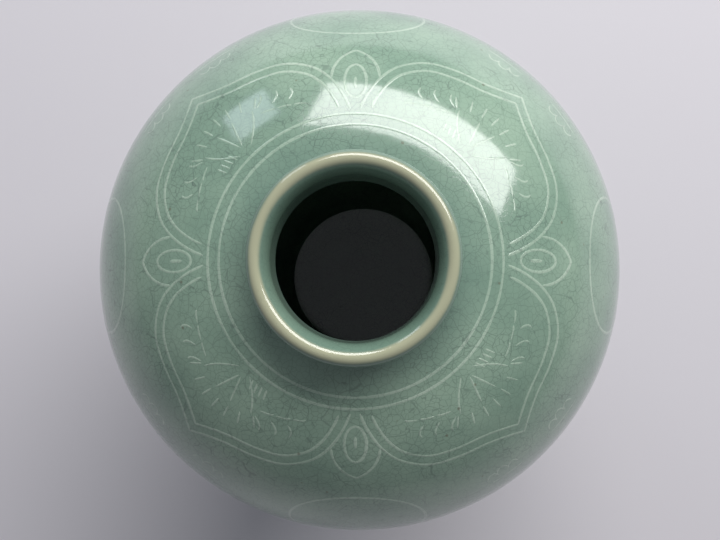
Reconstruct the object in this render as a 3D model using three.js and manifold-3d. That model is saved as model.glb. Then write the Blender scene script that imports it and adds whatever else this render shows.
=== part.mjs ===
// Celadon jar with inlaid decoration: wide round shoulder, short neck and rolled lip.
// Three thrown sections are luted together, then lines are carved in the shoulder and
// filled with white slip. Millimetres, +Z up, origin at the centre of the foot.
import * as THREE from "three";
import { mergeVertices } from "three/addons/utils/BufferGeometryUtils.js";
import Module from "manifold-3d";

const wasm = await Module();
wasm.setup();

// Driving dimensions of the thrown body
const bodyDiameter = 250;
const seamHeight = 172;
const shoulderHeight = 100;
const crownRadius = 30;
const bodyWall = 6.5;

// Driving dimensions of the foot
const footDiameter = 116;
const footRingWidth = 7;
const footRecess = 6;
const footHeight = 12;
const floorThickness = 10;

// Driving dimensions of the neck and the lip
const throatRadius = 30.8;
const neckRadius = 34.8;
const neckCoveWidth = 1.6;
const neckHeight = 18;
const lipDiameter = 78.4;
const lipCrestRadius = 35.7;
const lipDrop = 4;
const lipSlope = 9;

// Driving dimensions of the inlaid lines
const lineWidth = 1.3;
const lineDepth = 0.9;
const seatClearance = 0.3;
const innerRingRadius = 52;
const outerRingRadius = 56.5;
const lobeCount = 4;
const lobeTipRadius = 97;
const lobeShoulderRadius = 87;
const lobeLineSpacing = 3.9;
const budFootRadius = 74.8;
const budTipRadius = 85.6;
const budHalfWidth = 9.4;
const petalBaseRadius = 63.5;
const petalTipRadius = 78.5;
const petalHalfWidth = 4.3;
const roundelRadius = 30;
const roundelInnerEdgeRadius = 95.5;

// Facets round the axis
const roundSteps = 48;

const bodyRadius = bodyDiameter / 2;
const shoulderReach = bodyRadius - crownRadius;
const crownHeight = seamHeight + shoulderHeight;
const lipHeight = crownHeight + neckHeight;
const neckSeatRadius = neckRadius + neckCoveWidth;
const seatAngle = Math.acos((neckSeatRadius - crownRadius) / shoulderReach);
const neckSeatHeight = seamHeight + shoulderHeight * Math.sin(seatAngle);

const celadon = { color: 0x8aa191, roughness: 0.15, metalness: 0 };
const whiteSlip = { color: 0xd4d9cc, roughness: 0.3, metalness: 0 };

// A point of the shoulder's outline, by its angle up the quarter ellipse
function shoulderPoint(angle) {
  const radius = crownRadius + shoulderReach * Math.cos(angle);
  return new THREE.Vector2(radius, seamHeight + shoulderHeight * Math.sin(angle));
}

function shoulderAngle(radius) {
  return Math.acos((radius - crownRadius) / shoulderReach);
}

// Keep the faces that have three different corners, and turn them outwards
function closedGeometry(geometry) {
  geometry.deleteAttribute("normal");
  geometry.deleteAttribute("uv");
  const merged = mergeVertices(geometry, 1e-4);
  const source = merged.index.array;
  const position = merged.attributes.position;
  const corner = [new THREE.Vector3(), new THREE.Vector3(), new THREE.Vector3()];
  const faces = [];
  let volume = 0;
  for (let i = 0; i < source.length; i += 3) {
    const [a, b, c] = [source[i], source[i + 1], source[i + 2]];
    if (a === b || b === c || c === a) continue;
    [a, b, c].forEach((vertex, k) => corner[k].fromBufferAttribute(position, vertex));
    volume += corner[0].dot(corner[1].cross(corner[2]));
    faces.push([a, b, c]);
  }
  const outward = volume > 0 ? faces : faces.map(([a, b, c]) => [a, c, b]);
  merged.setIndex(outward.flat());
  return merged;
}

function toSolid(geometry) {
  const vertProperties = new Float32Array(geometry.attributes.position.array);
  const triVerts = new Uint32Array(geometry.index.array);
  return new wasm.Manifold(new wasm.Mesh({ numProp: 3, vertProperties, triVerts }));
}

function toGeometry(solid) {
  const mesh = solid.getMesh();
  const geometry = new THREE.BufferGeometry();
  geometry.setAttribute("position", new THREE.BufferAttribute(mesh.vertProperties, 3));
  geometry.setIndex(Array.from(mesh.triVerts));
  return geometry;
}

// Turn a profile of (radius, height) points about the Z axis
function turned(profile) {
  const lathe = new THREE.LatheGeometry(profile, roundSteps);
  lathe.rotateX(Math.PI / 2);
  return closedGeometry(lathe);
}

// Lower section: closed by the floor, with the foot ring turned out of its thick base
function lowerBody() {
  const footRadius = footDiameter / 2;
  const chamfer = 1.2;
  const ringInner = footRadius - footRingWidth;
  const floorTop = footRecess + floorThickness;
  const outerSide = new THREE.CubicBezierCurve(
    new THREE.Vector2(footRadius, footHeight),
    new THREE.Vector2(footRadius + 12, seamHeight * 0.41),
    new THREE.Vector2(bodyRadius, seamHeight * 0.64),
    new THREE.Vector2(bodyRadius, seamHeight),
  );
  const innerSide = new THREE.CubicBezierCurve(
    new THREE.Vector2(bodyRadius - bodyWall, seamHeight),
    new THREE.Vector2(bodyRadius - bodyWall, seamHeight * 0.66),
    new THREE.Vector2(footRadius + 8, seamHeight * 0.45),
    new THREE.Vector2(footRadius - bodyWall, floorTop + bodyWall),
  );
  const profile = [
    new THREE.Vector2(0, footRecess),
    new THREE.Vector2(ringInner - chamfer, footRecess),
    new THREE.Vector2(ringInner, 0),
    new THREE.Vector2(footRadius - chamfer, 0),
    new THREE.Vector2(footRadius, chamfer),
    ...outerSide.getPoints(10),
    ...innerSide.getPoints(6),
    new THREE.Vector2((footRadius - bodyWall) * 0.75, floorTop),
    new THREE.Vector2(0, floorTop),
  ];
  return turned(profile);
}

// Upper section: an even wall from the widest level up to the flat seat of the neck
function upperBodyPlain() {
  const outerSteps = 12;
  const innerSteps = 6;
  const outer = [];
  for (let i = 0; i <= outerSteps; i += 1) {
    outer.push(shoulderPoint((seatAngle * i) / outerSteps));
  }
  const inner = [];
  const innerReach = bodyRadius - bodyWall - throatRadius;
  const innerHeight = shoulderHeight - bodyWall;
  for (let i = 0; i <= innerSteps; i += 1) {
    const angle = (Math.PI / 2) * (1 - i / innerSteps);
    const radius = throatRadius + innerReach * Math.cos(angle);
    inner.push(new THREE.Vector2(radius, seamHeight + innerHeight * Math.sin(angle)));
  }
  const seatEdge = new THREE.Vector2(throatRadius, neckSeatHeight);
  return turned([...outer, seatEdge, ...inner, outer[0].clone()]);
}

// Neck: stands on the shoulder's seat and rolls outwards into the lip
function neckAndLip() {
  const outerReach = lipDiameter / 2 - lipCrestRadius;
  const innerReach = lipCrestRadius - throatRadius;
  const profile = [
    new THREE.Vector2(throatRadius, neckSeatHeight),
    new THREE.Vector2(neckSeatRadius, neckSeatHeight),
    new THREE.Vector2(neckRadius, neckSeatHeight + 2 * neckCoveWidth),
    new THREE.Vector2(neckRadius, lipHeight - 2 * lipDrop - 1),
  ];
  const rollSteps = 6;
  for (let i = 0; i <= rollSteps; i += 1) {
    const angle = -Math.PI / 3 + (i / rollSteps) * (Math.PI * 5) / 6;
    const radius = lipCrestRadius + outerReach * Math.cos(angle);
    profile.push(new THREE.Vector2(radius, lipHeight + lipDrop * (Math.sin(angle) - 1)));
  }
  const slopeSteps = 4;
  for (let i = 1; i <= slopeSteps; i += 1) {
    const angle = (Math.PI / 2) * (1 + i / slopeSteps);
    const radius = lipCrestRadius + innerReach * Math.cos(angle);
    profile.push(new THREE.Vector2(radius, lipHeight + lipSlope * (Math.sin(angle) - 1)));
  }
  profile.push(profile[0].clone());
  return turned(profile);
}

// A line on the shoulder is a row of places, each an angle up the outline and one round it
function placeAt(radius, bearing) {
  return { rise: shoulderAngle(radius), bearing };
}

function surfaceFrame(place) {
  const outline = shoulderPoint(place.rise);
  const round = new THREE.Vector3(Math.cos(place.bearing), Math.sin(place.bearing), 0);
  const point = round.clone().multiplyScalar(outline.x).setZ(outline.y);
  const normal = round.clone().multiplyScalar(Math.cos(place.rise) / shoulderReach);
  normal.setZ(Math.sin(place.rise) / shoulderHeight).normalize();
  return { point, normal };
}

// Places as surface frames with the sideways direction, widened at a bend to keep the width
function framesAlong(places, closed) {
  const frames = places.map(surfaceFrame);
  const count = frames.length;
  return frames.map(({ point, normal }, i) => {
    const before = frames[closed ? (i + count - 1) % count : Math.max(i - 1, 0)].point;
    const after = frames[closed ? (i + 1) % count : Math.min(i + 1, count - 1)].point;
    const arriving = point.clone().sub(before).normalize();
    const leaving = after.clone().sub(point).normalize();
    const along = arriving.clone().add(leaving).normalize();
    const bend = Math.max(along.dot(leaving.lengthSq() > 0 ? leaving : arriving), 0.5);
    const side = normal.clone().cross(along).normalize().multiplyScalar(1 / bend);
    return { point, normal, side };
  });
}

// A bar with a rectangular section that follows a line on the shoulder
function barAlong(places, closed, halfWidth, top, bottom) {
  const frames = framesAlong(places, closed);
  const positions = [];
  for (const { point, normal, side } of frames) {
    for (const [across, height] of [[1, top], [-1, top], [-1, bottom], [1, bottom]]) {
      const corner = point.clone().addScaledVector(side, across * halfWidth);
      positions.push(...corner.addScaledVector(normal, height).toArray());
    }
  }
  const index = [];
  const spans = closed ? frames.length : frames.length - 1;
  for (let i = 0; i < spans; i += 1) {
    const here = 4 * i;
    const next = 4 * ((i + 1) % frames.length);
    for (let k = 0; k < 4; k += 1) {
      const m = (k + 1) % 4;
      index.push(here + k, here + m, next + m, here + k, next + m, next + k);
    }
  }
  if (!closed) {
    const end = 4 * (frames.length - 1);
    index.push(0, 2, 1, 0, 3, 2, end, end + 1, end + 2, end, end + 2, end + 3);
  }
  const geometry = new THREE.BufferGeometry();
  geometry.setAttribute("position", new THREE.Float32BufferAttribute(positions, 3));
  geometry.setIndex(index);
  return closedGeometry(geometry);
}

function slipLine(places, closed) {
  return barAlong(places, closed, lineWidth / 2, 0, -lineDepth);
}

function grooveCutter(places, closed) {
  const halfWidth = lineWidth / 2 + seatClearance;
  const run = closed ? places : extended(places);
  return barAlong(run, closed, halfWidth, 2 * lineDepth, -lineDepth - seatClearance);
}

// The groove runs past both ends of an open line by the clearance
function extended(places) {
  const push = (from, to) => {
    const gap = surfaceFrame(from).point.distanceTo(surfaceFrame(to).point);
    const share = seatClearance / gap;
    return {
      rise: to.rise + (to.rise - from.rise) * share,
      bearing: to.bearing + (to.bearing - from.bearing) * share,
    };
  };
  const last = places.length - 1;
  return [push(places[1], places[0]), ...places.slice(1, last), push(places[last - 1], places[last])];
}

function ringPlaces(radius) {
  const steps = 36;
  return Array.from({ length: steps }, (_, i) => placeAt(radius, (2 * Math.PI * i) / steps));
}

// Half of a lobe from its notch at the ring to its pointed tip, as degrees and radius
function lobePlaces(centreBearing, inset) {
  const halfSpan = 180 / lobeCount;
  const start = outerRingRadius + lineWidth + 2 * seatClearance;
  const guide = [
    [1.8, start],
    [4.4, start + (lobeShoulderRadius - start) * 0.25],
    [8.2, start + (lobeShoulderRadius - start) * 0.53],
    [13, start + (lobeShoulderRadius - start) * 0.76],
    [20, start + (lobeShoulderRadius - start) * 0.94],
    [28, lobeShoulderRadius + (lobeTipRadius - lobeShoulderRadius) * 0.05],
    [36, lobeShoulderRadius + (lobeTipRadius - lobeShoulderRadius) * 0.25],
    [41.5, lobeShoulderRadius + (lobeTipRadius - lobeShoulderRadius) * 0.62],
    [halfSpan, lobeTipRadius],
  ].map(([degrees, radius]) => {
    const bearing = THREE.MathUtils.degToRad(degrees);
    return new THREE.Vector3(radius * Math.cos(bearing), radius * Math.sin(bearing), 0);
  });
  const curve = new THREE.CatmullRomCurve3(guide);
  const steps = 9;
  const half = [];
  for (let i = 0; i <= steps; i += 1) {
    const at = curve.getPointAt(i / steps);
    const along = curve.getTangentAt(i / steps);
    const inward = new THREE.Vector3(-along.y, along.x, 0);
    const tipPull = i === steps ? 1.25 : 1;
    const spot = i === steps
      ? at.clone().multiplyScalar(1 - (tipPull * inset) / at.length())
      : at.clone().addScaledVector(inward, inset);
    half.push({ radius: spot.length(), bearing: Math.atan2(spot.y, spot.x) });
  }
  const kept = half.filter(({ radius }) => radius >= start - 0.01);
  const middle = THREE.MathUtils.degToRad(halfSpan);
  const rising = kept.map(({ radius, bearing }) => {
    return placeAt(radius, centreBearing - middle + bearing);
  });
  const falling = kept.slice(0, -1).reverse().map(({ radius, bearing }) => {
    return placeAt(radius, centreBearing + middle - bearing);
  });
  return [...rising, ...falling];
}

// The arch of a bud, open towards the neck, full at the sides and drawn to a point
function budArchPlaces(bearing) {
  const steps = 10;
  const height = budTipRadius - budFootRadius;
  return Array.from({ length: steps + 1 }, (_, i) => {
    const turn = (Math.PI * i) / steps;
    const across = -Math.sign(Math.cos(turn)) * Math.abs(Math.cos(turn)) ** 0.9;
    const point = (1 - Math.abs(Math.cos(turn))) ** 2;
    const radius = budFootRadius + height * (0.85 * Math.sin(turn) + 0.15 * point);
    return placeAt(radius, bearing + (budHalfWidth * across) / radius);
  });
}

// The petal inside the bud, a closed oval that is pointed at both ends
function petalPlaces(bearing) {
  const steps = 10;
  return Array.from({ length: steps }, (_, i) => {
    const turn = (2 * Math.PI * i) / steps;
    const share = (1 - Math.cos(turn)) / 2;
    const radius = petalBaseRadius + (petalTipRadius - petalBaseRadius) * share;
    return placeAt(radius, bearing + (petalHalfWidth * Math.sin(turn)) / radius);
  });
}

// A roundel is a circle laid on the side of the shoulder, level with the lobe tips
function roundelPlaces(bearing) {
  const steps = 18;
  const meridianRadius = (shoulderReach + shoulderHeight) / 2;
  const centreRise = shoulderAngle(roundelInnerEdgeRadius) - roundelRadius / meridianRadius;
  return Array.from({ length: steps }, (_, i) => {
    const turn = (2 * Math.PI * i) / steps;
    const rise = centreRise + (roundelRadius * Math.cos(turn)) / meridianRadius;
    const reach = shoulderPoint(rise).x;
    return { rise, bearing: bearing + (roundelRadius * Math.sin(turn)) / reach };
  });
}

// All lines of the decoration by name
const lines = [
  { name: "neck_ring_inner", closed: true, places: ringPlaces(innerRingRadius) },
  { name: "neck_ring_outer", closed: true, places: ringPlaces(outerRingRadius) },
];
for (let i = 0; i < lobeCount; i += 1) {
  const notch = (2 * Math.PI * i) / lobeCount;
  const centre = notch + Math.PI / lobeCount;
  const mark = i + 1;
  lines.push({ name: `lobe_${mark}_outer_line`, closed: false, places: lobePlaces(centre, 0) });
  lines.push({
    name: `lobe_${mark}_inner_line`,
    closed: false,
    places: lobePlaces(centre, lobeLineSpacing),
  });
  lines.push({ name: `bud_${mark}_arch`, closed: false, places: budArchPlaces(notch) });
  lines.push({ name: `bud_${mark}_petal`, closed: true, places: petalPlaces(notch) });
  lines.push({ name: `roundel_${mark}`, closed: true, places: roundelPlaces(notch) });
}

// Carve every groove out of the upper section
function upperBody() {
  let body = toSolid(upperBodyPlain());
  for (const line of lines) {
    body = body.subtract(toSolid(grooveCutter(line.places, line.closed)));
  }
  return toGeometry(body);
}

function named(name, geometry, finish) {
  const mesh = new THREE.Mesh(geometry, new THREE.MeshStandardMaterial(finish));
  mesh.name = name;
  return mesh;
}

const group = new THREE.Group();
group.add(named("lower_body", lowerBody(), celadon));
group.add(named("upper_body", upperBody(), celadon));
group.add(named("neck_and_lip", neckAndLip(), celadon));
for (const line of lines) {
  group.add(named(line.name, slipLine(line.places, line.closed), whiteSlip));
}

export default group;
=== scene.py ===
import math

import bpy
import numpy as np
from mathutils import Matrix, Vector


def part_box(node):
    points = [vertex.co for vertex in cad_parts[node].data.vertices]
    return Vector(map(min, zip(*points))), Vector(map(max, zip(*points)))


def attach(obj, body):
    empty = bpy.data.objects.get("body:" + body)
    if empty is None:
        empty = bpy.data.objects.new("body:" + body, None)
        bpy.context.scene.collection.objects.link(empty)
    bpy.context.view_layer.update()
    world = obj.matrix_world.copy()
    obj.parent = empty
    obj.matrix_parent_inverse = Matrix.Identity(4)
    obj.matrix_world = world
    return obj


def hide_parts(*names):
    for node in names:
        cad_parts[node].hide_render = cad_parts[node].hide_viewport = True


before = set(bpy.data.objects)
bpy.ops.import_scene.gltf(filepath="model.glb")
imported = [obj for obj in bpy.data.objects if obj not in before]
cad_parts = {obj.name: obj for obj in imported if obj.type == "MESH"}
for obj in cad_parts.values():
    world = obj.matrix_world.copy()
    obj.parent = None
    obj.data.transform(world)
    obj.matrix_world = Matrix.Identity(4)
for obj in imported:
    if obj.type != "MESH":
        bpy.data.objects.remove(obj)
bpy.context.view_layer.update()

scene = bpy.context.scene


# The upper section
# The wide shoulder is thrown stoneware under a clear grey-green glaze. It is luted to the
# lower section at the widest level, and its glaze crackles all over as it cools.
body_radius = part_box("upper_body")[1].x
seam_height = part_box("upper_body")[0].z
seat_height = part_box("upper_body")[1].z
crown_radius = 0.030
shoulder_height = 0.100
shoulder_reach = body_radius - crown_radius
body_wall = 0.0065
throat_radius = 0.0308
turn_steps = 240
shoulder_outside_steps = 90
shoulder_inside_steps = 40
thrown_edge_angle = 40


def full_turn(count):
    """Angles spaced evenly round a full turn, the last one a step short of the first."""
    return np.linspace(0, 2 * math.pi, count, endpoint=False)


def make_mesh(name, points, faces, edge_angle):
    """A mesh object from points and faces, shaded smooth except where faces meet at more
    than the edge angle, in degrees."""
    mesh = bpy.data.meshes.new(name)
    mesh.from_pydata(points.tolist(), [], faces)
    mesh.polygons.foreach_set("use_smooth", np.ones(len(mesh.polygons), bool))
    mesh.set_sharp_from_angle(angle=math.radians(edge_angle))
    mesh.update()
    made = bpy.data.objects.new(name, mesh)
    scene.collection.objects.link(made)
    return made


def stitched(rows, columns, rows_close):
    """Four-sided faces between neighbours on a grid of points. The columns go all the way
    round, and so do the rows where they close."""
    row = np.arange(rows if rows_close else rows - 1)[:, None]
    column = np.arange(columns)[None, :]
    next_row = (row + 1) % rows
    next_column = (column + 1) % columns
    return np.stack([row * columns + column, row * columns + next_column,
                     next_row * columns + next_column, next_row * columns + column],
                    -1).reshape(-1, 4)


def turned(name, profile):
    """A profile carried round the axis: each point (r, z) becomes a ring
    (r cos a, r sin a, z). A profile with both ends on the axis is closed there by fans of
    triangles, and any other closes on itself."""
    capped = profile[0, 0] == 0 and profile[-1, 0] == 0
    rings = profile[1:-1] if capped else profile
    radius = rings[:, :1]
    height = rings[:, 1:]
    angle = full_turn(turn_steps)
    points = np.stack([radius * np.cos(angle), radius * np.sin(angle), height + 0 * angle],
                      -1).reshape(-1, 3)
    faces = stitched(len(rings), turn_steps, not capped).tolist()
    if capped:
        first_ring = np.arange(turn_steps)
        after = (first_ring + 1) % turn_steps
        last_ring = len(points) - turn_steps
        centre = np.full(turn_steps, len(points))
        faces += np.stack([centre, after, first_ring], -1).tolist()
        faces += np.stack([first_ring + last_ring, after + last_ring, centre + 1], -1).tolist()
        points = np.concatenate([points, [[0, 0, profile[0, 1]], [0, 0, profile[-1, 1]]]])
    return make_mesh(name, points, faces, thrown_edge_angle)


def colour(red, green, blue):
    """A colour given as 0 to 255 on the screen, as linear light by the sRGB curve."""
    share = np.array([red, green, blue]) / 255
    linear = np.where(share <= 0.04045, share / 12.92, ((share + 0.055) / 1.055) ** 2.4)
    return (*linear.tolist(), 1.0)


def new_finish(name, roughness):
    """A material with one shader on its output, and that shader."""
    finish = bpy.data.materials.new(name)
    finish.use_nodes = True
    tree = finish.node_tree
    tree.nodes.clear()
    shader = tree.nodes.new("ShaderNodeBsdfPrincipled")
    shader.inputs["Roughness"].default_value = roughness
    output = tree.nodes.new("ShaderNodeOutputMaterial")
    tree.links.new(shader.outputs[0], output.inputs["Surface"])
    return finish, shader


def own_place(tree):
    """The place of each point of the piece, in metres."""
    return tree.nodes.new("ShaderNodeTexCoord").outputs["Object"]


def noise(tree, place, scale, detail=2):
    """Soft noise over the piece. A greater scale makes smaller patches."""
    node = tree.nodes.new("ShaderNodeTexNoise")
    node.inputs["Scale"].default_value = scale
    node.inputs["Detail"].default_value = detail
    tree.links.new(place, node.inputs["Vector"])
    return node


def carried(tree, value, start, end, first, last, easing="SMOOTHSTEP"):
    """A value that runs from start to end, as a share that runs from first to last."""
    node = tree.nodes.new("ShaderNodeMapRange")
    node.interpolation_type = easing
    node.inputs["From Min"].default_value = start
    node.inputs["From Max"].default_value = end
    node.inputs["To Min"].default_value = first
    node.inputs["To Max"].default_value = last
    tree.links.new(value, node.inputs["Value"])
    return node.outputs["Result"]


def worked_out(tree, operation, *terms):
    """One step of arithmetic. Each term is a number or what another node gives."""
    node = tree.nodes.new("ShaderNodeMath")
    node.operation = operation
    for socket, term in zip(node.inputs, terms):
        if isinstance(term, (int, float)):
            socket.default_value = term
        else:
            tree.links.new(term, socket)
    return node.outputs[0]


def laid_over(tree, under, top, share):
    """The top colour over the one under it, by a share from 0 to 1. The one under is a plain
    colour or what another node gives."""
    mix = tree.nodes.new("ShaderNodeMix")
    mix.data_type = "RGBA"
    mix.inputs["B"].default_value = top
    if isinstance(under, tuple):
        mix.inputs["A"].default_value = under
    else:
        tree.links.new(under, mix.inputs["A"])
    tree.links.new(share, mix.inputs["Factor"])
    return mix.outputs["Result"]


def relief(tree, height, strength, depth):
    """A bump that follows a height, with its depth in metres."""
    node = tree.nodes.new("ShaderNodeBump")
    node.inputs["Strength"].default_value = strength
    node.inputs["Distance"].default_value = depth
    tree.links.new(height, node.inputs["Height"])
    return node


def tone_share(tree, place):
    """Soft patches, a few centimetres wide, where the glaze is pale."""
    patches = noise(tree, place, scale=28, detail=6)
    return carried(tree, patches.outputs["Fac"], start=0.35, end=0.65, first=0, last=1,
                   easing="LINEAR")


def pool_share(tree, place):
    """How deep the glaze has pooled, by the distance from the axis, sqrt(x x + y y): nothing
    at twice the throat's radius, and just over half next to the throat."""
    split = tree.nodes.new("ShaderNodeSeparateXYZ")
    flat = tree.nodes.new("ShaderNodeCombineXYZ")
    from_axis = tree.nodes.new("ShaderNodeVectorMath")
    from_axis.operation = "LENGTH"
    tree.links.new(place, split.inputs[0])
    tree.links.new(split.outputs["X"], flat.inputs["X"])
    tree.links.new(split.outputs["Y"], flat.inputs["Y"])
    tree.links.new(flat.outputs[0], from_axis.inputs[0])
    return carried(tree, from_axis.outputs["Value"], start=throat_radius * 2,
                   end=throat_radius * 1.1, first=0, last=0.55)


def crackle_net(tree, place):
    """Lines on the edges of two sets of cells, one fine and one coarse. Noise bends the cells
    and fades the lines in patches."""
    bend = noise(tree, place, scale=180)
    bent = tree.nodes.new("ShaderNodeVectorMath")
    bent.operation = "MULTIPLY_ADD"
    bent.inputs[1].default_value = (0.0016, 0.0016, 0.0016)
    tree.links.new(bend.outputs["Color"], bent.inputs[0])
    tree.links.new(place, bent.inputs[2])
    nets = []
    for scale, line_share in ((430, 0.05), (150, 0.025)):
        cells = tree.nodes.new("ShaderNodeTexVoronoi")
        cells.feature = "DISTANCE_TO_EDGE"
        cells.inputs["Scale"].default_value = scale
        tree.links.new(bent.outputs[0], cells.inputs["Vector"])
        nets.append(carried(tree, cells.outputs["Distance"], start=0, end=line_share,
                            first=1, last=0))
    patches = noise(tree, place, scale=45)
    return worked_out(tree, "MULTIPLY", worked_out(tree, "MAXIMUM", *nets),
                      patches.outputs["Fac"])


def speck_share(tree, place):
    """Pinpoints of iron, one near the middle of each cell."""
    cells = tree.nodes.new("ShaderNodeTexVoronoi")
    cells.inputs["Scale"].default_value = 75
    tree.links.new(place, cells.inputs["Vector"])
    return carried(tree, cells.outputs["Distance"], start=0.035, end=0.06, first=0.5, last=0,
                   easing="LINEAR")


crackle_colour = colour(72, 88, 84)
speck_colour = colour(96, 82, 62)


def glaze_finish(name, pale, deep, pooled, crackle_strength, last_coat=None):
    """Celadon glaze: a pale tone over a deep one, darker where it pools near the neck, then
    the net of crackle and the iron specks. A last coat may be laid over them. The surface
    ripples softly, and each crackle line is a hair deep."""
    finish, shader = new_finish(name, roughness=0.09)
    tree = finish.node_tree
    shader.inputs["IOR"].default_value = 1.68
    place = own_place(tree)
    crackle = crackle_net(tree, place)
    coat = laid_over(tree, deep, pale, tone_share(tree, place))
    coat = laid_over(tree, coat, pooled, pool_share(tree, place))
    coat = laid_over(tree, coat, crackle_colour,
                     worked_out(tree, "MULTIPLY", crackle, crackle_strength))
    coat = laid_over(tree, coat, speck_colour, speck_share(tree, place))
    if last_coat:
        coat = last_coat(tree, place, coat)
    tree.links.new(coat, shader.inputs["Base Color"])
    waves = noise(tree, place, scale=60, detail=3)
    ripple = relief(tree, waves.outputs["Fac"], strength=0.12, depth=0.0008)
    hair = relief(tree, crackle, strength=0.10, depth=0.00008)
    hair.invert = True
    tree.links.new(ripple.outputs[0], hair.inputs["Normal"])
    tree.links.new(hair.outputs[0], shader.inputs["Normal"])
    return finish


def shoulder_profile():
    """Outside, a quarter ellipse from the widest level up to the neck's seat,
    (crown + reach cos a, seam + height sin a). Inside, the same curve drawn in by the wall."""
    seat_rise = math.asin((seat_height - seam_height) / shoulder_height)
    rise = np.linspace(0, seat_rise, shoulder_outside_steps)
    outside = np.stack([crown_radius + shoulder_reach * np.cos(rise),
                        seam_height + shoulder_height * np.sin(rise)], -1)
    fall = np.linspace(math.pi / 2, 0, shoulder_inside_steps)
    inner_reach = body_radius - body_wall - throat_radius
    inside = np.stack([throat_radius + inner_reach * np.cos(fall),
                       seam_height + (shoulder_height - body_wall) * np.sin(fall)], -1)
    return np.concatenate([outside, [[throat_radius, seat_height]], inside])


celadon = glaze_finish("celadon_glaze", pale=colour(150, 176, 156), deep=colour(128, 156, 138),
                       pooled=colour(100, 128, 118), crackle_strength=0.85)
shoulder = turned("shoulder_shell", shoulder_profile())
shoulder.data.materials.append(celadon)
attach(shoulder, "root")
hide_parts("upper_body")


# The lower section
# It is thrown with a thick base, and the foot ring is turned out of that base when the clay
# is leather-hard. The glaze stops at the foot, whose bearing edge is bare buff stoneware.
foot_radius = 0.058
foot_ring_width = 0.007
foot_recess = 0.006
foot_height = 0.012
foot_edge = 0.0012
ring_lean = 0.0012
ring_inner_edge = 0.0006
ring_inner_edge_start = 0.0002
floor_top = 0.016
floor_rim_rise = 0.0018
floor_rim_share = 0.93
floor_flat_share = 0.75
outside_flare = 0.012
inside_flare = 0.008
outside_waist_share = 0.41
outside_belly_share = 0.64
inside_belly_share = 0.66
inside_waist_share = 0.45
lower_outside_steps = 90
lower_inside_steps = 50
bare_height = 0.0009
bare_inset = 0.001


def curve_points(corners, count):
    """A cubic Bezier curve: the four corners weighted by the Bernstein polynomials."""
    t = np.linspace(0, 1, count)[:, None]
    a, b, c, d = np.array(corners, float)
    return (1 - t) ** 3 * a + 3 * (1 - t) ** 2 * t * b + 3 * (1 - t) * t ** 2 * c + t ** 3 * d


def lower_profile():
    """From the axis out under the foot and round its ring, by one Bezier curve up to the
    widest level, and by another down the inside to the floor and back to the axis."""
    ring_inner = foot_radius - foot_ring_width
    foot = [(0, foot_recess),
            (ring_inner - ring_lean, foot_recess),
            (ring_inner - ring_inner_edge_start, ring_inner_edge),
            (ring_inner - ring_inner_edge_start + ring_inner_edge, 0),
            (foot_radius - foot_edge, 0),
            (foot_radius - foot_edge / 4, foot_edge / 3),
            (foot_radius, foot_edge)]
    outside = curve_points([(foot_radius, foot_height),
                            (foot_radius + outside_flare, seam_height * outside_waist_share),
                            (body_radius, seam_height * outside_belly_share),
                            (body_radius, seam_height)], lower_outside_steps)
    floor_radius = foot_radius - body_wall
    inner_radius = body_radius - body_wall
    inside = curve_points([(inner_radius, seam_height),
                           (inner_radius, seam_height * inside_belly_share),
                           (foot_radius + inside_flare, seam_height * inside_waist_share),
                           (floor_radius, floor_top + body_wall)], lower_inside_steps)
    base = [(floor_radius * floor_rim_share, floor_top + floor_rim_rise),
            (floor_radius * floor_flat_share, floor_top),
            (0, floor_top)]
    return np.concatenate([foot, outside, inside, base])


def bare_clay():
    """Fired stoneware at the foot: buff with brown specks and a fine tooth."""
    finish, shader = new_finish("foot_clay", roughness=0.8)
    tree = finish.node_tree
    grain = noise(tree, own_place(tree), scale=900, detail=5).outputs["Fac"]
    tone = tree.nodes.new("ShaderNodeValToRGB")
    tone.color_ramp.elements[0].color = colour(120, 94, 70)
    tone.color_ramp.elements[0].position = 0.35
    tone.color_ramp.elements[1].color = colour(186, 164, 134)
    tone.color_ramp.elements[1].position = 0.6
    tree.links.new(grain, tone.inputs["Fac"])
    tree.links.new(tone.outputs["Color"], shader.inputs["Base Color"])
    tooth = relief(tree, grain, strength=0.4, depth=0.0002)
    tree.links.new(tooth.outputs[0], shader.inputs["Normal"])
    return finish


lower = turned("lower_shell", lower_profile())
lower.data.materials.append(celadon)
lower.data.materials.append(bare_clay())
centres = np.empty(len(lower.data.polygons) * 3, np.float32)
lower.data.polygons.foreach_get("center", centres)
across, back, height = centres.reshape(-1, 3).T
on_ring = np.hypot(across, back) > foot_radius - foot_ring_width - bare_inset
at_foot = (height < bare_height) & on_ring
lower.data.polygons.foreach_set("material_index", at_foot.astype(np.int32))
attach(lower, "root")
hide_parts("lower_body")


# The neck and lip
# A short neck is thrown on the shoulder and its rim is rolled outwards into a thick lip. The
# glaze has run off the crest of the lip, which shows a warm buff line all the way round.
lip_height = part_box("neck_and_lip")[1].z
lip_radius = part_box("neck_and_lip")[1].x
lip_crest_radius = 0.0357
neck_radius = 0.0348
neck_cove = 0.0016
neck_cove_height = 2 * neck_cove
neck_start_rise = 0.001
lip_drop = 0.004
lip_slope = 0.009
under_lip_height = lip_height - 2 * lip_drop
under_lip_reach = 0.0015
under_lip_bend = 0.002
under_lip_rise = 0.001
roll_start = -math.pi / 3
cove_steps = 12
neck_steps = 24
roll_steps = 40
slope_steps = 36
crest_bare_depth = 0.0013
crest_bare_edge = 0.0002
crest_wander = 0.0016


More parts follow.
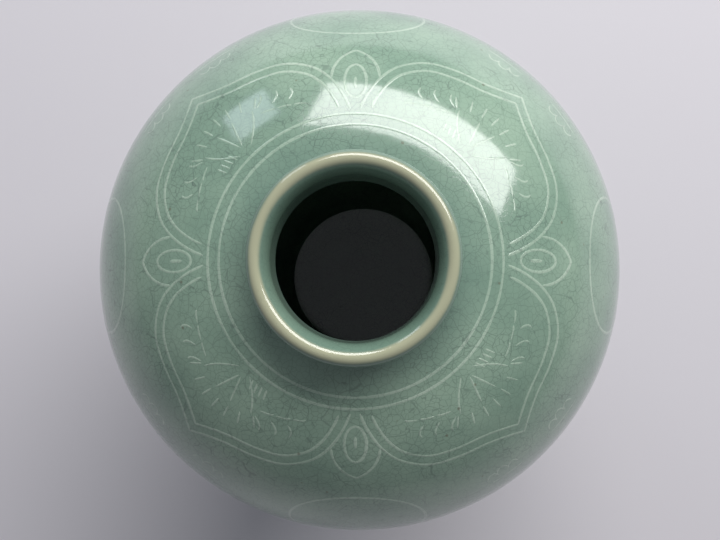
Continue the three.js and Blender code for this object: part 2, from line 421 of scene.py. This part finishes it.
def neck_profile():
    """A hollow quarter ellipse off the shoulder, a Bezier curve up the neck, the lip's roll
    (crest + out cos a, top + drop (sin a - 1)), and a quarter ellipse into the throat."""
    cove_turn = np.linspace(0, math.pi / 2, cove_steps)
    cove = np.stack([neck_radius + neck_cove * (1 - np.sin(cove_turn)),
                     seat_height + neck_cove_height * (1 - np.cos(cove_turn))], -1)
    roll_turn = np.linspace(roll_start, math.pi / 2, roll_steps)
    roll = np.stack([lip_crest_radius + (lip_radius - lip_crest_radius) * np.cos(roll_turn),
                     lip_height + lip_drop * (np.sin(roll_turn) - 1)], -1)
    wall = curve_points([(neck_radius, seat_height + neck_cove_height + neck_start_rise),
                         (neck_radius, under_lip_height - under_lip_bend),
                         (neck_radius + under_lip_reach, under_lip_height - under_lip_rise),
                         roll[0]], neck_steps)[:-1]
    slope_turn = np.linspace(math.pi / 2, math.pi, slope_steps)[1:]
    slope = np.stack([lip_crest_radius + (lip_crest_radius - throat_radius) * np.cos(slope_turn),
                      lip_height + lip_slope * (np.sin(slope_turn) - 1)], -1)
    return np.concatenate([[[throat_radius, seat_height]], cove, wall, roll, slope])


def bare_crest(tree, place, glazed):
    """Bare clay over the glaze along the crest. Its edge is a level that the same noise as
    the glaze's tones moves up and down."""
    split = tree.nodes.new("ShaderNodeSeparateXYZ")
    tree.links.new(place, split.inputs[0])
    patches = noise(tree, place, scale=28, detail=6)
    level = worked_out(tree, "MULTIPLY_ADD", patches.outputs["Fac"], crest_wander,
                       split.outputs["Z"])
    level = worked_out(tree, "SUBTRACT", level, crest_wander / 2)
    thin = carried(tree, level, start=lip_height - crest_bare_depth,
                   end=lip_height - crest_bare_edge, first=0, last=1)
    return laid_over(tree, glazed, colour(172, 174, 146), thin)


neck = turned("neck_shell", neck_profile())
neck.data.materials.append(
    glaze_finish("neck_glaze", pale=colour(146, 170, 150), deep=colour(126, 152, 134),
                 pooled=colour(86, 114, 102), crackle_strength=0.4, last_coat=bare_crest))
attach(neck, "root")
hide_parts("neck_and_lip")


# The rings round the neck
# Each line is white slip pressed into a carved groove and scraped flush before glazing, so
# it lies level with the shoulder and shows soft and grey-white under the glaze.
line_width = 0.0013
line_depth = 0.0009
line_proud = 0.00004
line_crown_share = 0.55
line_section = ((1, -line_depth), (1, -line_proud / 2), (line_crown_share, line_proud),
                (-line_crown_share, line_proud), (-1, -line_proud / 2), (-1, -line_depth))
line_edge_angle = 60
inner_ring_radius = 0.052
outer_ring_radius = 0.0565
ring_steps = 300
wobble = np.random.default_rng(7)
narrowest_share = 0.82
widest_share = 1.12
steps_per_wobble = 6
fewest_wobbles = 4
closing_steps = 8
end_share = 0.35
tapering_steps = 2

slip = glaze_finish("inlaid_slip", pale=colour(182, 202, 184), deep=colour(158, 182, 163),
                    pooled=colour(138, 164, 150), crackle_strength=0.7)


def shoulder_rise(radius):
    """The angle up the shoulder's ellipse at a distance from the axis, the arc cosine of
    (radius - crown) / reach."""
    return np.arccos((radius - crown_radius) / shoulder_reach)


def width_shares(count, closed):
    """A share of the width for each point, as the knife presses more or less. A closed line
    is eased into its own start, and an open one narrows at both ends."""
    knots = max(count // steps_per_wobble, fewest_wobbles)
    shares = np.interp(np.arange(count), np.linspace(0, count, knots),
                       wobble.uniform(narrowest_share, widest_share, knots))
    if closed:
        fade = np.minimum(1, np.arange(count) / closing_steps)
        return shares[-1] * (1 - fade) + shares * fade
    from_end = np.minimum(np.arange(count), np.arange(count)[::-1])
    return shares * np.clip(end_share + from_end / tapering_steps, 0, 1)


def slip_bar(rise, bearing, closed, width, first_point):
    """A bar along a line on the shoulder, (r cos b, r sin b, seam + height sin a) with
    r = crown + reach cos a. Its section is a low crown: two feet in the groove, two edges at
    the surface and a raised middle, set out along the surface's normal and across the line."""
    radius = crown_radius + shoulder_reach * np.cos(rise)
    point = np.stack([radius * np.cos(bearing), radius * np.sin(bearing),
                      seam_height + shoulder_height * np.sin(rise)], -1)
    lean = np.cos(rise) / shoulder_reach
    normal = np.stack([lean * np.cos(bearing), lean * np.sin(bearing),
                       np.sin(rise) / shoulder_height], -1)
    normal /= np.linalg.norm(normal, axis=1)[:, None]
    if closed:
        along = np.roll(point, -1, 0) - np.roll(point, 1, 0)
    else:
        along = np.gradient(point, axis=0)
    side = np.cross(normal, along)
    side /= np.linalg.norm(side, axis=1)[:, None]
    half = width / 2 * width_shares(len(point), closed)[:, None]
    grid = np.stack([point + side * half * across + normal * level
                     for across, level in line_section], 1)
    corners = len(line_section)
    faces = (stitched(len(point), corners, closed) + first_point).tolist()
    if not closed:
        start_cap = np.arange(corners) + first_point
        end_cap = start_cap + (len(point) - 1) * corners
        faces += [start_cap[::-1].tolist(), end_cap.tolist()]
    return grid.reshape(-1, 3), faces


def inlay(name, runs, node=None):
    """One mesh from one or more lines, each (rise, bearing, closed, width). It stands for the
    node where one is given."""
    points = np.empty((0, 3))
    faces = []
    for rise, bearing, closed, width in runs:
        bar_points, bar_faces = slip_bar(rise, bearing, closed, width, len(points))
        points = np.concatenate([points, bar_points])
        faces += bar_faces
    piece = make_mesh(name, points, faces, line_edge_angle)
    piece.data.materials.append(slip)
    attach(piece, "root")
    if node:
        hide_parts(node)


def ring_run(radius):
    """A level ring: one rise at every bearing."""
    bearing = full_turn(ring_steps)
    return shoulder_rise(radius) + 0 * bearing, bearing, True, line_width


inlay("slip_ring_inner", [ring_run(inner_ring_radius)], "neck_ring_inner")
inlay("slip_ring_outer", [ring_run(outer_ring_radius)], "neck_ring_outer")


# The four lobes
# Each lobe is an ogee frame, inlaid in white slip with a double line. It leaves the outer
# ring beside a bud, swells round the shoulder and rises to a point between two roundels.
lobe_count = 4
lobe_tip_radius = 0.097
lobe_shoulder_radius = 0.087
lobe_line_spacing = 0.0039
lobe_ring_gap = 0.0006
lobe_start_radius = outer_ring_radius + line_width + lobe_ring_gap
lobe_start_slack = 0.0001
lobe_half_turn = math.pi / lobe_count
guide_degrees = (1.8, 4.4, 8.2, 13, 20, 28, 36, 41.5)
swell_shares = np.array((0, 0.25, 0.53, 0.76, 0.94))
point_shares = np.array((0.05, 0.25, 0.62, 1))
span_steps = 40
guide_steps = 70
slope_points = 4


def smooth_through(points, count):
    """A Catmull-Rom curve through the points, resampled at even steps of its length."""
    padded = np.concatenate([[2 * points[0] - points[1]], points, [2 * points[-1] - points[-2]]])
    t = np.linspace(0, 1, span_steps, endpoint=False)[:, None]
    spans = []
    for i in range(len(points) - 1):
        a, b, c, d = padded[i:i + 4]
        spans.append(0.5 * (2 * b + (c - a) * t + (2 * a - 5 * b + 4 * c - d) * t ** 2
                            + (3 * b - a - 3 * c + d) * t ** 3))
    fine = np.concatenate(spans + [points[-1:]])
    length = np.concatenate([[0], np.cumsum(np.linalg.norm(np.diff(fine, axis=0), axis=1))])
    even = np.linspace(0, length[-1], count)
    return np.stack([np.interp(even, length, fine[:, 0]), np.interp(even, length, fine[:, 1])],
                    -1)


def lobe_run(middle, inset):
    """Half the frame through guide points of bearing and radius, moved sideways in the plan
    by the inset, and mirrored about the lobe's middle. An inset line falls short of the
    middle, so it is carried on to it at its own slope."""
    degrees = np.array([*guide_degrees, 180 / lobe_count])
    swell = lobe_shoulder_radius - lobe_start_radius
    point_rise = lobe_tip_radius - lobe_shoulder_radius
    radius = np.concatenate([lobe_start_radius + swell * swell_shares,
                             lobe_shoulder_radius + point_rise * point_shares])
    guide = smooth_through(np.stack([radius * np.cos(np.radians(degrees)),
                                     radius * np.sin(np.radians(degrees))], -1), guide_steps)
    along = np.gradient(guide, axis=0)
    along /= np.linalg.norm(along, axis=1)[:, None]
    moved = guide + inset * np.stack([-along[:, 1], along[:, 0]], -1)
    reach = np.hypot(moved[:, 0], moved[:, 1])
    bearing = np.arctan2(moved[:, 1], moved[:, 0])
    kept = (reach > lobe_start_radius - lobe_start_slack) & (bearing < lobe_half_turn)
    reach = reach[kept]
    bearing = bearing[kept]
    if inset:
        slope = (reach[-1] - reach[-slope_points]) / (bearing[-1] - bearing[-slope_points])
        reach = np.append(reach, reach[-1] + slope * (lobe_half_turn - bearing[-1]))
        bearing = np.append(bearing, lobe_half_turn)
    whole_reach = np.concatenate([reach, reach[:-1][::-1]])
    whole_bearing = np.concatenate([bearing - lobe_half_turn,
                                    lobe_half_turn - bearing[:-1][::-1]])
    return shoulder_rise(whole_reach), middle + whole_bearing, False, line_width


lobe_middles = [(2 * lobe + 1) * math.pi / lobe_count for lobe in range(lobe_count)]
for number, middle in enumerate(lobe_middles, 1):
    inlay(f"slip_lobe_{number}_outer", [lobe_run(middle, 0)], f"lobe_{number}_outer_line")
    inlay(f"slip_lobe_{number}_inner", [lobe_run(middle, lobe_line_spacing)],
          f"lobe_{number}_inner_line")


# The buds between the lobes
# In each notch stands a bud, inlaid in white slip: an arch with a pointed top, a petal inside
# it and one short stroke at its heart.
bud_foot_radius = 0.0733
bud_tip_radius = 0.0856
bud_half_width = 0.0095
arch_side_power = 0.9
arch_round_share = 0.85
arch_point_share = 0.15
arch_steps = 49
petal_base_radius = 0.0635
petal_tip_radius = 0.0785
petal_half_width = 0.0043
petal_steps = 48
heart_base_radius = 0.0675
heart_tip_radius = 0.0725
heart_width = line_width * 1.2
heart_steps = 8


def arch_run(bearing):
    """Half an oval over the petal. It stands off to the side by -cos a, raised to a power
    that fills its sides, and out from its foot by sin a plus a small point,
    (1 - |cos a|) squared."""
    turn = np.linspace(0, math.pi, arch_steps)
    sideways = -np.sign(np.cos(turn)) * np.abs(np.cos(turn)) ** arch_side_power
    point = (1 - np.abs(np.cos(turn))) ** 2
    outwards = arch_round_share * np.sin(turn) + arch_point_share * point
    radius = bud_foot_radius + (bud_tip_radius - bud_foot_radius) * outwards
    return (shoulder_rise(radius), bearing + bud_half_width * sideways / radius, False,
            line_width)


def petal_run(bearing):
    """An oval: out from its base by (1 - cos a) / 2 of its length, and off to the side by
    sin a of its half width."""
    turn = full_turn(petal_steps)
    outwards = (1 - np.cos(turn)) / 2
    radius = petal_base_radius + (petal_tip_radius - petal_base_radius) * outwards
    return (shoulder_rise(radius), bearing + petal_half_width * np.sin(turn) / radius, True,
            line_width)


def heart_run(bearing):
    """A straight stroke outwards at one bearing."""
    radius = np.linspace(heart_base_radius, heart_tip_radius, heart_steps)
    return shoulder_rise(radius), bearing + 0 * radius, False, heart_width


notches = [2 * math.pi * notch / lobe_count for notch in range(lobe_count)]
for number, notch in enumerate(notches, 1):
    inlay(f"slip_bud_{number}_arch", [arch_run(notch)], f"bud_{number}_arch")
    inlay(f"slip_bud_{number}_petal", [petal_run(notch)], f"bud_{number}_petal")
    inlay(f"slip_bud_{number}_heart", [heart_run(notch)])


# The roundels
# Four large thin circles of white slip lie on the side of the shoulder, one below each bud.
# Each is pressed into a groove of its own, cut round as one line.
roundel_radius = 0.030
roundel_inner_edge = 0.0955
roundel_steps = 140
meridian_radius = (shoulder_reach + shoulder_height) / 2


def roundel_run(bearing):
    """A circle on the shoulder: its radius times cos a up the curve, which is nearly an arc
    of the meridian radius, and its radius times sin a round it."""
    turn = full_turn(roundel_steps)
    centre = shoulder_rise(roundel_inner_edge) - roundel_radius / meridian_radius
    rise = centre + roundel_radius * np.cos(turn) / meridian_radius
    reach = crown_radius + shoulder_reach * np.cos(rise)
    return rise, bearing + roundel_radius * np.sin(turn) / reach, True, line_width


for number, notch in enumerate(notches, 1):
    inlay(f"slip_roundel_{number}", [roundel_run(notch)], f"roundel_{number}")


# The sprays in the lobes
# Inside each lobe a flower spray is cut with single strokes of the knife and filled with
# white slip: a fan under the tip, two pairs of stems, leaves and a small comb by the ring.
stroke_width = 0.0009
stroke_steps = 9
fan_strokes = range(-3, 4)
fan_root_radius = 0.0755
fan_root_sag = 0.0004
fan_root_spacing = 0.0048
fan_end_radius = 0.0805
fan_end_sag = 0.0005
fan_end_spacing = 0.0060
long_stem = np.array([(0.0600, 0.0030), (0.0715, 0.0130)])
short_stem = np.array([(0.0625, 0.0005), (0.0730, 0.0040)])
stem_bow = 0.0012
leaf_offsets = ((0.015, 0.020), (0.021, 0.026), (0.027, 0.031))
leaf_root_radius = 0.0715
leaf_root_slope = 0.25
upper_leaf_rise = 0.0045
upper_leaf_bow = 0.0012
lower_leaf_start = 0.0030
lower_leaf_drop = 0.0045
lower_leaf_bow = 0.0010
comb_strokes = (-1.5, -0.5, 0.5, 1.5)
comb_spacing = 0.0022
comb_root = np.array((0.0600, 0.0080))
comb_end = np.array((0.0640, 0.0095))


def stroke(start, end, bow=0.0):
    """A knife stroke between two places, each (radius, offset along the round), bowed
    sideways by sin a from end to end."""
    share = np.linspace(0, 1, stroke_steps)
    radius = start[0] + (end[0] - start[0]) * share
    offset = start[1] + (end[1] - start[1]) * share + bow * np.sin(math.pi * share)
    return radius, offset


def spray_strokes():
    """The strokes of one spray, about the lobe's middle. The fan's places fall away with the
    square of their number, and the stems and leaves are the same on both sides."""
    strokes = []
    for k in fan_strokes:
        strokes.append(stroke((fan_root_radius - fan_root_sag * k * k, fan_root_spacing * k),
                              (fan_end_radius - fan_end_sag * k * k, fan_end_spacing * k)))
    for side in (-1, 1):
        strokes.append(stroke(*(long_stem * (1, side)), stem_bow * side))
        strokes.append(stroke(*(short_stem * (1, side))))
        for near, far in leaf_offsets:
            root = leaf_root_radius - (near - leaf_offsets[0][0]) * leaf_root_slope
            strokes.append(stroke((root, near * side), (root + upper_leaf_rise, far * side),
                                  upper_leaf_bow * side))
            strokes.append(stroke((root - lower_leaf_start, near * side),
                                  (root - lower_leaf_drop, far * side), lower_leaf_bow * side))
    for k in comb_strokes:
        strokes.append(stroke(comb_root + (0, comb_spacing * k), comb_end + (0, comb_spacing * k)))
    return strokes


def stroke_runs(strokes, bearing):
    """Strokes laid on the shoulder: an offset over its radius is a turn from the bearing."""
    return [(shoulder_rise(radius), bearing + offset / radius, False, stroke_width)
            for radius, offset in strokes]


for number, middle in enumerate(lobe_middles, 1):
    inlay(f"slip_spray_{number}", stroke_runs(spray_strokes(), middle))


# The clouds between the roundels
# Two small curls of cloud lie below the tip of each lobe, cut and filled with white slip in
# the same way. Each is three bumps over a tail.
cloud_turns = (-0.17, 0.15)
cloud_radius = 0.1085
bump_rise = 0.0035
middle_bump_rise = 0.001
bump_spacing = 0.0052
bump_half_width = 0.0028
bump_steps = 12
bump_start = 0.1 * math.pi
bump_end = 0.9 * math.pi
tail_start = (0.1100, -0.009)
tail_end = (0.1105, 0.010)


def cloud_strokes():
    """Each bump is an arc, (cloud radius - rise sin a, spacing k - half width cos a), and the
    middle one stands a little higher. The tail is a straight stroke."""
    turn = np.linspace(bump_start, bump_end, bump_steps)
    bumps = [(cloud_radius - bump_rise * np.sin(turn) - middle_bump_rise * (k == 0),
              bump_spacing * k - bump_half_width * np.cos(turn)) for k in (-1, 0, 1)]
    return bumps + [stroke(tail_start, tail_end)]


for number, middle in enumerate(lobe_middles, 1):
    runs = []
    for cloud_turn in cloud_turns:
        runs += stroke_runs(cloud_strokes(), middle + cloud_turn)
    inlay(f"slip_cloud_{number}", runs)


# The table, the light and the view
# A plain pale lilac-grey table, one wide soft window up and to the right, a small cool one to
# the left of it, and a camera that looks almost straight down at the mouth.
table_reach = 3.0
picture_width = 720
focal_pixels = 800
view_place = (0.0069, -0.0147, seam_height + 0.4008)
view_pitch = math.radians(-2.07)
view_sway = math.radians(-0.945)

table_mesh = bpy.data.meshes.new("table")
table_mesh.from_pydata([(-table_reach, -table_reach, 0), (table_reach, -table_reach, 0),
                        (table_reach, table_reach, 0), (-table_reach, table_reach, 0)],
                       [], [(0, 1, 2, 3)])
table = bpy.data.objects.new("table", table_mesh)
scene.collection.objects.link(table)
table_finish, table_shader = new_finish("table_cloth", roughness=0.7)
table_shader.inputs["Base Color"].default_value = colour(208, 205, 211)
table_mesh.materials.append(table_finish)


def window(name, azimuth, elevation, distance, wide, tall, radiance, tint):
    """A flat lamp that faces the neck's seat, at an azimuth and elevation in degrees. Its
    power is radiance times pi times its area."""
    lamp = bpy.data.lights.new(name, "AREA")
    lamp.shape = "RECTANGLE"
    lamp.size = wide
    lamp.size_y = tall
    lamp.energy = radiance * math.pi * wide * tall
    lamp.color = tint
    holder = bpy.data.objects.new(name, lamp)
    scene.collection.objects.link(holder)
    azimuth = math.radians(azimuth)
    elevation = math.radians(elevation)
    away = Vector((math.cos(elevation) * math.cos(azimuth),
                   math.cos(elevation) * math.sin(azimuth), math.sin(elevation)))
    holder.location = Vector((0, 0, seat_height)) + away * distance
    holder.rotation_euler = (-away).to_track_quat("-Z", "Y").to_euler()


window("big_window", azimuth=66, elevation=39, distance=2.2, wide=2.75, tall=1.12,
       radiance=7.4, tint=(1.0, 0.99, 0.98))
window("small_window", azimuth=125, elevation=20, distance=2.2, wide=0.55, tall=0.8,
       radiance=3.0, tint=(0.80, 0.90, 1.0))

scene.world = bpy.data.worlds.new("room")
scene.world.use_nodes = True
room = scene.world.node_tree.nodes["Background"]
room.inputs["Color"].default_value = (0.80, 0.82, 0.88, 1)
room.inputs["Strength"].default_value = 0.25

lens = bpy.data.cameras.new("view")
lens.sensor_width = 36
lens.lens = lens.sensor_width * focal_pixels / picture_width
camera = bpy.data.objects.new("view", lens)
scene.collection.objects.link(camera)
turn = Matrix.Rotation(view_pitch, 4, "X") @ Matrix.Rotation(view_sway, 4, "Y")
camera.matrix_world = Matrix.Translation(view_place) @ turn.transposed()
scene.camera = camera
scene.view_settings.view_transform = "Standard"
